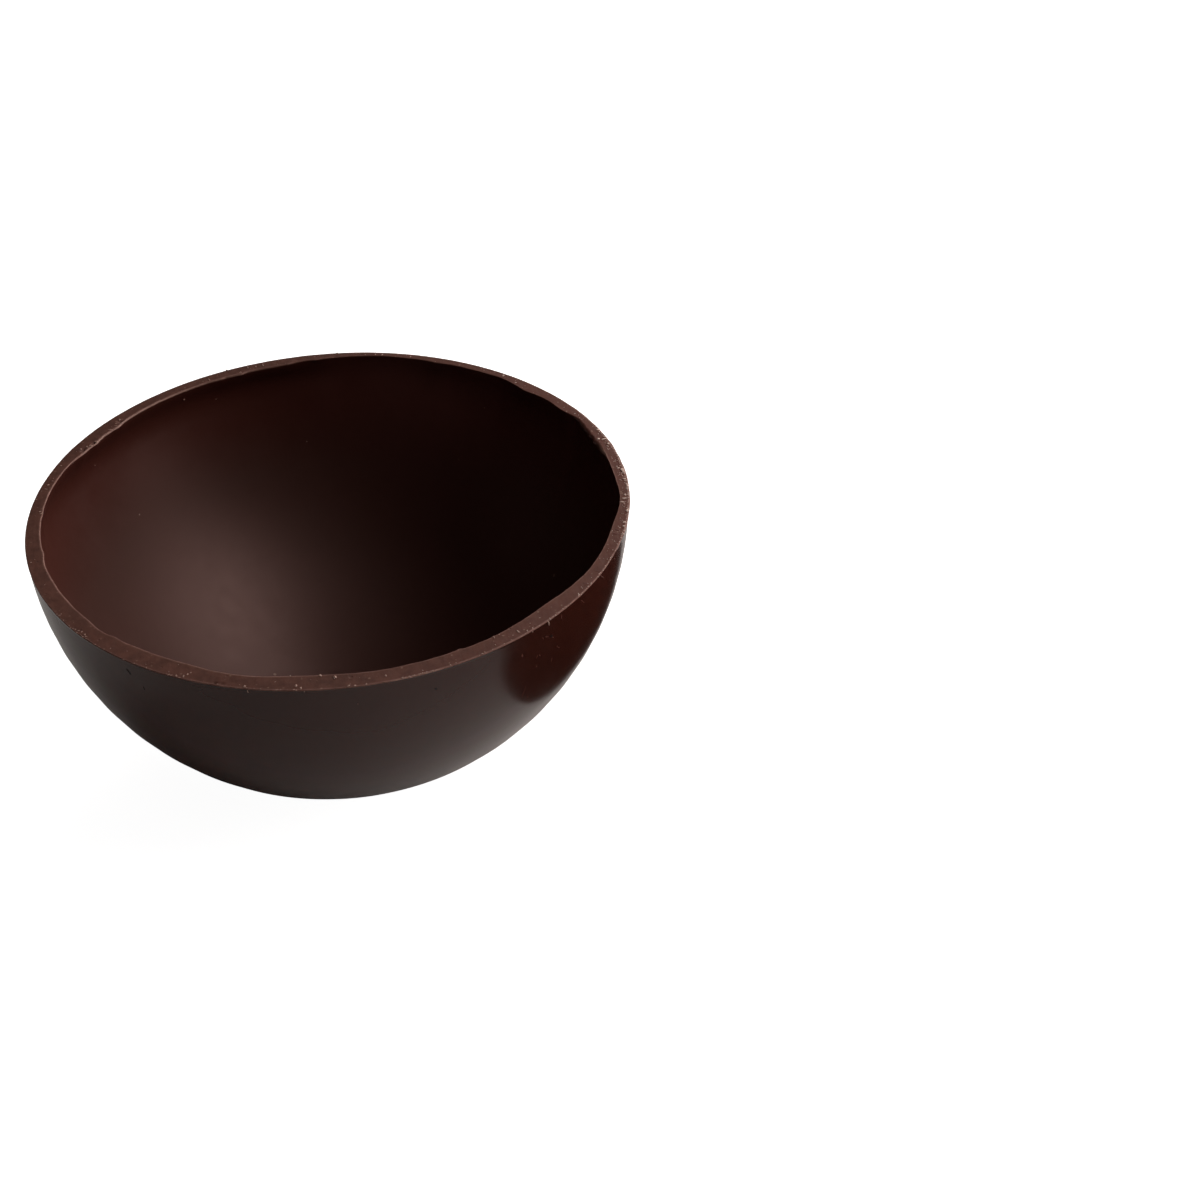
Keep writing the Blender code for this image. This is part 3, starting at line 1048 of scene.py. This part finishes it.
class Finish(Nodes):
    """A material with a Principled shader."""

    def __init__(self, name):
        self.material = bpy.data.materials.new(name)
        self.material.use_nodes = True
        super().__init__(self.material.node_tree)
        self.shader = self.nodes["Principled BSDF"]
        self.where = self.nodes.new("ShaderNodeTexCoord").outputs["Object"]

    def group(self, name, **values):
        """Places the group, which is built once, with its own values; gives its outputs."""
        node = self.nodes.new("ShaderNodeGroup")
        node.node_tree = bpy.data.node_groups.get(name) or GROUP_MAKERS[name]()
        self.feed(node.inputs["Vector"], self.where)
        for socket, value in values.items():
            self.feed(node.inputs[socket], value)
        return node.outputs

    def mottle(self, brown, **values):
        return self.group("chocolate_mottle", Brown=(*brown, 1.0), **values)["Colour"]

    def specks(self, **values):
        return self.group("sparse_specks", **values)["Mask"]

    def worn_and_highlit(self, colour, pale):
        """The colour, paler where the edges are worn and where a highlight is painted along them.
        """
        return self.lighten(colour, self.group("edge_wear", Scale=1100.0, Least=0.45)["Mask"], pale)

    def along(self, axis, source, target):
        """A value that runs from one end to the other along an axis of the object, in metres."""
        node = self.nodes.new("ShaderNodeSeparateXYZ")
        self.feed(node.inputs["Vector"], self.where)
        return self.span(node.outputs[axis], source, target)

    def give(self, **values):
        """Sets or links the shader's own sockets; an underscore stands for a space."""
        for socket, value in values.items():
            self.feed(self.shader.inputs[socket.replace("_", " ")], value)


def moulded_gloss(colours):
    """The outside, smooth from the mould: high gloss, faint wipe marks and a few pits."""
    finish = Finish("moulded_gloss")
    wipes = finish.group(
        "fine_streaks", Turn=(0.5, 0.3, 0.4), Stretch=(1.0, 1.0, 0.12), Scale=260.0
    )
    haze = finish.math("MULTIPLY", wipes["Value"], finish.noise(finish.where, 70.0, 3.0))
    swell = finish.bump(finish.noise(finish.where, 90.0, 1.0), 0.04 * MM, 0.4)
    pits = finish.specks(Scale=420.0, Share=0.05, Size=0.22)
    pitted = finish.bump(pits, -0.03 * MM, 0.8, swell)
    grain = finish.group("fine_grain", Scale=2600.0, Detail=3.0)
    finish.give(
        Base_Color=finish.mottle(colours.moulded, Deep=0.86, Scale=60.0),
        Roughness=finish.span(haze, (0.1, 0.6), (0.16, 0.24)),
        Normal=finish.bump(grain["Height"], 0.002 * MM, 0.6, pitted),
        IOR=1.46,
    )
    return finish.material


def free_satin(colours):
    """The inside, set without a mould: satin, duller deep down, with fine specks, and a highlight
    painted along its rounded inner edge.
    """
    finish = Finish("free_satin")
    brown = finish.mottle(colours.free, Deep=0.92, Scale=160.0)
    near_rim = finish.along("Z", UNDER_RIM, (0.0, 0.85))
    warmer = finish.lighten(brown, near_rim, WARM_INSIDE)
    specks = finish.specks(Scale=520.0, Share=0.035, Size=0.16)
    specked = finish.lighten(warmer, specks, INSIDE_SPECK)
    cloud = finish.group("fine_grain", Scale=520.0, Detail=5.0, Least=-0.025, Most=0.025)
    dull = finish.along("Z", UNDER_RIM, (0.46, 0.315))
    swell = finish.bump(finish.noise(finish.where, 110.0, 2.0), 0.05 * MM, 0.4)
    grain = finish.group("fine_grain", Scale=2200.0, Detail=4.0)
    finish.give(
        # paler along the inner edge: wear, and a painted highlight on the rounded bead
        Base_Color=finish.worn_and_highlit(specked, INSIDE_WEAR_AND_HIGHLIGHT),
        Roughness=finish.math("ADD", dull, cloud["Value"]),
        Normal=finish.bump(grain["Height"], 0.008 * MM, 0.7, swell),
        IOR=1.46,
        Specular_IOR_Level=0.82,
        Specular_Tint=(1.0, 0.66, 0.61, 1.0),
    )
    return finish.material


def scraped_face(colours):
    """The rim, scraped level while half set: matt, paler, scratched, dusty at the right, and
    painted redder towards the right where the light falls from behind.
    """
    finish = Finish("scraped_face")
    brown = finish.mottle(colours.scraped, Deep=0.66, Scale=1000.0)
    # painted light: redder towards the right
    lit_side_share = finish.along("X", (0.0, RIM_RADIUS), (0.0, 0.35))
    redder_lit_side = finish.lighten(brown, lit_side_share, SCRAPED_LIT_SIDE_PAINT)
    dusty = finish.along("X", (-RIM_RADIUS, RIM_RADIUS), (0.35, 1.0))
    powder = finish.math("MULTIPLY", finish.specks(Scale=2600.0, Share=0.14, Size=0.5), dusty)
    dusted = finish.lighten(redder_lit_side, powder, DUST)
    scratches = finish.group(
        "fine_streaks", Turn=(0.0, 0.0, 0.5), Stretch=(1.0, 0.15, 1.0), Scale=2400.0
    )["Value"]
    grooved = finish.bump(scratches, 0.012 * MM, 0.7)
    grain = finish.group("fine_grain", Scale=3600.0, Detail=5.0, Roughness=0.65)
    rough = finish.bump(grain["Height"], 0.026 * MM, 0.7, grooved)
    pits = finish.specks(Scale=1500.0, Share=0.12, Size=0.4)
    finish.give(
        # paler along both edges: wear, and a painted highlight where light catches them
        Base_Color=finish.worn_and_highlit(dusted, WORN_AND_HIGHLIT),
        Roughness=finish.span(scratches, (0.2, 0.8), (0.48, 0.66)),
        Normal=finish.bump(pits, -0.05 * MM, 0.8, rough),
        IOR=1.45,
        Specular_IOR_Level=0.2,
    )
    return finish.material


def broken_crumb(colours):
    """Freshly broken chocolate: paler, dull, with small bright facets, and painted palest at the
    right, where the light from behind catches the crumbs.
    """
    finish = Finish("broken_crumb")
    brown = finish.mottle(colours.broken, Deep=0.6, Scale=2600.0)
    # painted light: paler towards the right
    backlit_share = finish.along("X", (0.5 * RIM_RADIUS, 0.95 * RIM_RADIUS), (0.0, 0.9))
    grain = finish.group("fine_grain", Scale=5200.0, Detail=3.0, Least=0.3, Most=0.5)
    finish.give(
        Base_Color=finish.lighten(brown, backlit_share, BACKLIT_CRUMB_PAINT),
        Roughness=grain["Value"],
        Normal=finish.bump(grain["Height"], 0.02 * MM, 0.6),
    )
    return finish.material


def marked_spot(name, colour):
    """Chocolate that something scratched, or a dent whose shade is painted dark: dull and uneven.
    """
    finish = Finish(name)
    grain = finish.group("fine_grain", Scale=3200.0, Detail=3.0, Least=0.45, Most=0.7)
    finish.give(
        Base_Color=finish.mottle(colour, Deep=0.6, Scale=1800.0),
        Roughness=grain["Value"],
        Normal=finish.bump(grain["Height"], 0.02 * MM, 0.6),
        Specular_IOR_Level=0.25,
    )
    return finish.material


class CHOCOLATE_OT_shell(bpy.types.Operator):
    """Adds the chocolate shell with its glossy outside, satin inside and scraped rim"""

    bl_idname = "chocolate.shell"
    bl_label = "Add Chocolate Shell"

    def execute(self, context):
        colours = context.scene.chocolate_finish
        surfaces = (moulded_gloss(colours), scraped_face(colours), free_satin(colours))
        piece = build_shell(context.scene.chocolate_sizes, surfaces)
        if not piece.data.polygons:
            raise RuntimeError("the chocolate shell came out empty")
        return {"FINISHED"}


class CHOCOLATE_OT_crumbs(bpy.types.Operator):
    """Adds the crumbs on the rim, the marks on the outside and the specks on the inside"""

    bl_idname = "chocolate.crumbs"
    bl_label = "Add Rim Crumbs"

    def execute(self, context):
        colours = context.scene.chocolate_finish
        surfaces = (
            broken_crumb(colours),
            marked_spot("pale_scuff", colours.scuffed),
            # the dents' dark colour is painted shade
            marked_spot("dark_dent", colours.dent_shade),
        )
        piece = build_crumbs(context.scene.chocolate_sizes, surfaces)
        if not piece.data.polygons:
            raise RuntimeError("the rim crumbs came out empty")
        return {"FINISHED"}


# The camera, measured in radii of the rim from the rim's middle
CAMERA_DISTANCE = 6.54
CAMERA_ELEVATION = math.radians(33.42)
CAMERA_ROLL = math.radians(6.01)
FRAME_SIZE = 1200.0
FOCAL_LENGTH = 1928.9  # in units of the frame's size
RIM_MIDDLE = (330.8, 500.4)  # where the rim's middle lies in the frame, from its top left
SENSOR = 36.0


def aim_camera():
    """A camera that looks down into the open shell, with the shell left of the frame's middle."""
    middle = Vector((0.0, 0.0, RIM_TOP))
    flat, steep = math.cos(CAMERA_ELEVATION), math.sin(CAMERA_ELEVATION)
    back = Vector((0.0, -flat, steep))
    right = Vector((1.0, 0.0, 0.0))
    level = Matrix((right, back.cross(right), back)).transposed()
    roll = Matrix.Rotation(-CAMERA_ROLL, 3, "Z")
    column, row = RIM_MIDDLE
    half = FRAME_SIZE / 2
    offset = Vector((column - half, half - row, -FOCAL_LENGTH)).normalized()
    aside = offset.rotation_difference(Vector((0.0, 0.0, -1.0))).to_matrix()
    data = bpy.data.cameras.new("camera")
    data.sensor_width = SENSOR
    data.lens = SENSOR * FOCAL_LENGTH / FRAME_SIZE
    data.clip_start, data.clip_end = 0.01, 20.0
    camera = bpy.data.objects.new("camera", data)
    bpy.context.scene.collection.objects.link(camera)
    turn = (level @ roll @ aside).to_4x4()
    eye = middle + back * (CAMERA_DISTANCE * RIM_RADIUS)
    camera.matrix_world = Matrix.Translation(eye) @ turn
    bpy.context.scene.camera = camera
    return camera


FLOOR_REACH = 3.0  # from the middle to each side
FLOOR_PARTS = 60
FLOOR_LIFT = 0.96
FLAG_PLACE = (1.87, -0.45)  # in radii of the rim from the shell's axis
SOFTBOX_DISTANCE = 0.8
# The softboxes: (name, degrees, degrees above the floor, width, height)
SOFTBOXES = (
    ("wall_softbox", 22.0, 30.0, 1.5, 1.0),
    ("side_softbox", 54.0, 20.0, 0.5, 0.6),
    ("top_softbox", 350.0, 58.0, 0.7, 0.5),
    ("front_softbox", 300.0, 55.0, 0.6, 0.6),
    ("overhead_softbox", 0.0, 88.0, 0.7, 0.7),
    ("fill_softbox", 165.0, 12.0, 0.5, 0.4),
)


def floor_material(colour):
    """Pale paper. The camera sees it a little lighter than the chocolate mirrors it."""
    material = bpy.data.materials.new("pale_floor")
    material.use_nodes = True
    nodes, links = material.node_tree.nodes, material.node_tree.links
    shader = nodes["Principled BSDF"]
    shader.inputs["Base Color"].default_value = (*colour, 1.0)
    shader.inputs["Roughness"].default_value = 0.9
    shader.inputs["Specular IOR Level"].default_value = 0.1
    path = nodes.new("ShaderNodeLightPath")
    seen = path.outputs["Is Camera Ray"]
    strength = Nodes(material.node_tree).math("MULTIPLY", seen, FLOOR_LIFT)
    glow = nodes.new("ShaderNodeEmission")
    links.new(strength, glow.inputs["Strength"])
    both = nodes.new("ShaderNodeAddShader")
    links.new(shader.outputs["BSDF"], both.inputs[0])
    links.new(glow.outputs["Emission"], both.inputs[1])
    links.new(both.outputs["Shader"], nodes["Material Output"].inputs["Surface"])
    return material


def add_floor(look):
    mesh = bmesh.new()
    bmesh.ops.create_grid(
        mesh, x_segments=FLOOR_PARTS, y_segments=FLOOR_PARTS, size=FLOOR_REACH
    )
    floor = mesh_object(mesh, "floor", (floor_material(look.floor),))


def add_dark_flag():
    """A dark round flag at the right, as large as a second shell, which only the gloss sees."""
    mesh = bmesh.new()
    bmesh.ops.create_uvsphere(mesh, u_segments=64, v_segments=32, radius=RIM_RADIUS)
    bmesh.ops.bisect_plane(
        mesh,
        geom=mesh.verts[:] + mesh.edges[:] + mesh.faces[:],
        plane_co=(0.0, 0.0, 0.0),
        plane_no=(0.0, 0.0, -1.0),
        clear_outer=True,
    )
    aside = (*(share * RIM_RADIUS for share in FLAG_PLACE), 0.0)
    bmesh.ops.translate(mesh, verts=mesh.verts, vec=aside)
    material = bpy.data.materials.new("dark_cloth")
    material.use_nodes = True
    shader = material.node_tree.nodes["Principled BSDF"]
    shader.inputs["Base Color"].default_value = (0.03, 0.01, 0.007, 1.0)
    shader.inputs["Roughness"].default_value = 0.6
    flag = mesh_object(mesh, "dark_flag", (material,))
    flag.visible_camera = False
    flag.visible_shadow = False
    flag.visible_diffuse = False


def add_softbox(name, degrees, elevation, size, power, colour):
    """A softbox that points at the rim's middle from this direction."""
    data = bpy.data.lights.new(name, "AREA")
    data.shape = "RECTANGLE"
    data.size, data.size_y = size
    data.energy = power
    data.color = colour
    lamp = bpy.data.objects.new(name, data)
    bpy.context.scene.collection.objects.link(lamp)
    rise = math.radians(elevation)
    direction = place(degrees, math.cos(rise), math.sin(rise))
    lamp.location = Vector((0.0, 0.0, RIM_TOP)) + direction * SOFTBOX_DISTANCE
    lamp.rotation_mode = "QUATERNION"
    lamp.rotation_quaternion = (-direction).to_track_quat("-Z", "Y")
    lamp.visible_camera = False


def add_world():
    """A dim room. The camera sees it as pale as the floor."""
    world = bpy.data.worlds.new("studio")
    world.use_nodes = True
    nodes, links = world.node_tree.nodes, world.node_tree.links
    room = nodes["Background"]
    room.inputs["Color"].default_value = (0.01, 0.01, 0.01, 1.0)
    pale = nodes.new("ShaderNodeBackground")
    pale.inputs["Color"].default_value = (1.0, 1.0, 1.0, 1.0)
    path = nodes.new("ShaderNodeLightPath")
    mix = nodes.new("ShaderNodeMixShader")
    links.new(path.outputs["Is Camera Ray"], mix.inputs["Fac"])
    links.new(room.outputs["Background"], mix.inputs[1])
    links.new(pale.outputs["Background"], mix.inputs[2])
    links.new(mix.outputs["Shader"], nodes["World Output"].inputs["Surface"])
    bpy.context.scene.world = world


class CHOCOLATE_OT_stage(bpy.types.Operator):
    """Adds the floor, the softboxes, the room and the camera"""

    bl_idname = "chocolate.stage"
    bl_label = "Add Stage"

    def execute(self, context):
        look = context.scene.chocolate_stage
        add_floor(look)
        add_dark_flag()
        add_world()
        for name, degrees, elevation, *size in SOFTBOXES:
            add_softbox(name, degrees, elevation, size, getattr(look, name), look.light)
        context.scene.view_settings.view_transform = "Standard"
        if aim_camera() is None:
            raise RuntimeError("the camera wasn't made")
        return {"FINISHED"}


class CHOCOLATE_PT_panel(bpy.types.Panel):
    """Lists the pieces of the half sphere and its sizes and colours"""

    bl_idname = "CHOCOLATE_PT_panel"
    bl_label = "Chocolate Half Sphere"
    bl_space_type = "VIEW_3D"
    bl_region_type = "UI"
    bl_category = "Chocolate"

    def draw(self, context):
        for settings in ("chocolate_sizes", "chocolate_finish", "chocolate_stage"):
            box = self.layout.box()
            group = getattr(context.scene, settings)
            for name in group.bl_rna.properties.keys():
                if name not in ("rna_type", "name"):
                    box.prop(group, name)
        for operator in OPERATORS:
            self.layout.operator(operator.bl_idname)


GROUPS = (ShellSizes, ChocolateFinish, StageLook)
OPERATORS = (CHOCOLATE_OT_shell, CHOCOLATE_OT_crumbs, CHOCOLATE_OT_stage)


def register():
    for cls in (*GROUPS, *OPERATORS, CHOCOLATE_PT_panel):
        bpy.utils.register_class(cls)
    bpy.types.Scene.chocolate_sizes = PointerProperty(type=ShellSizes)
    bpy.types.Scene.chocolate_finish = PointerProperty(type=ChocolateFinish)
    bpy.types.Scene.chocolate_stage = PointerProperty(type=StageLook)


def unregister():
    del bpy.types.Scene.chocolate_stage
    del bpy.types.Scene.chocolate_finish
    del bpy.types.Scene.chocolate_sizes
    for cls in (CHOCOLATE_PT_panel, *reversed(OPERATORS), *reversed(GROUPS)):
        bpy.utils.unregister_class(cls)


def main():
    register()
    bpy.ops.chocolate.shell()
    bpy.ops.chocolate.crumbs()
    bpy.ops.chocolate.stage()


if __name__ == "__main__":
    main()
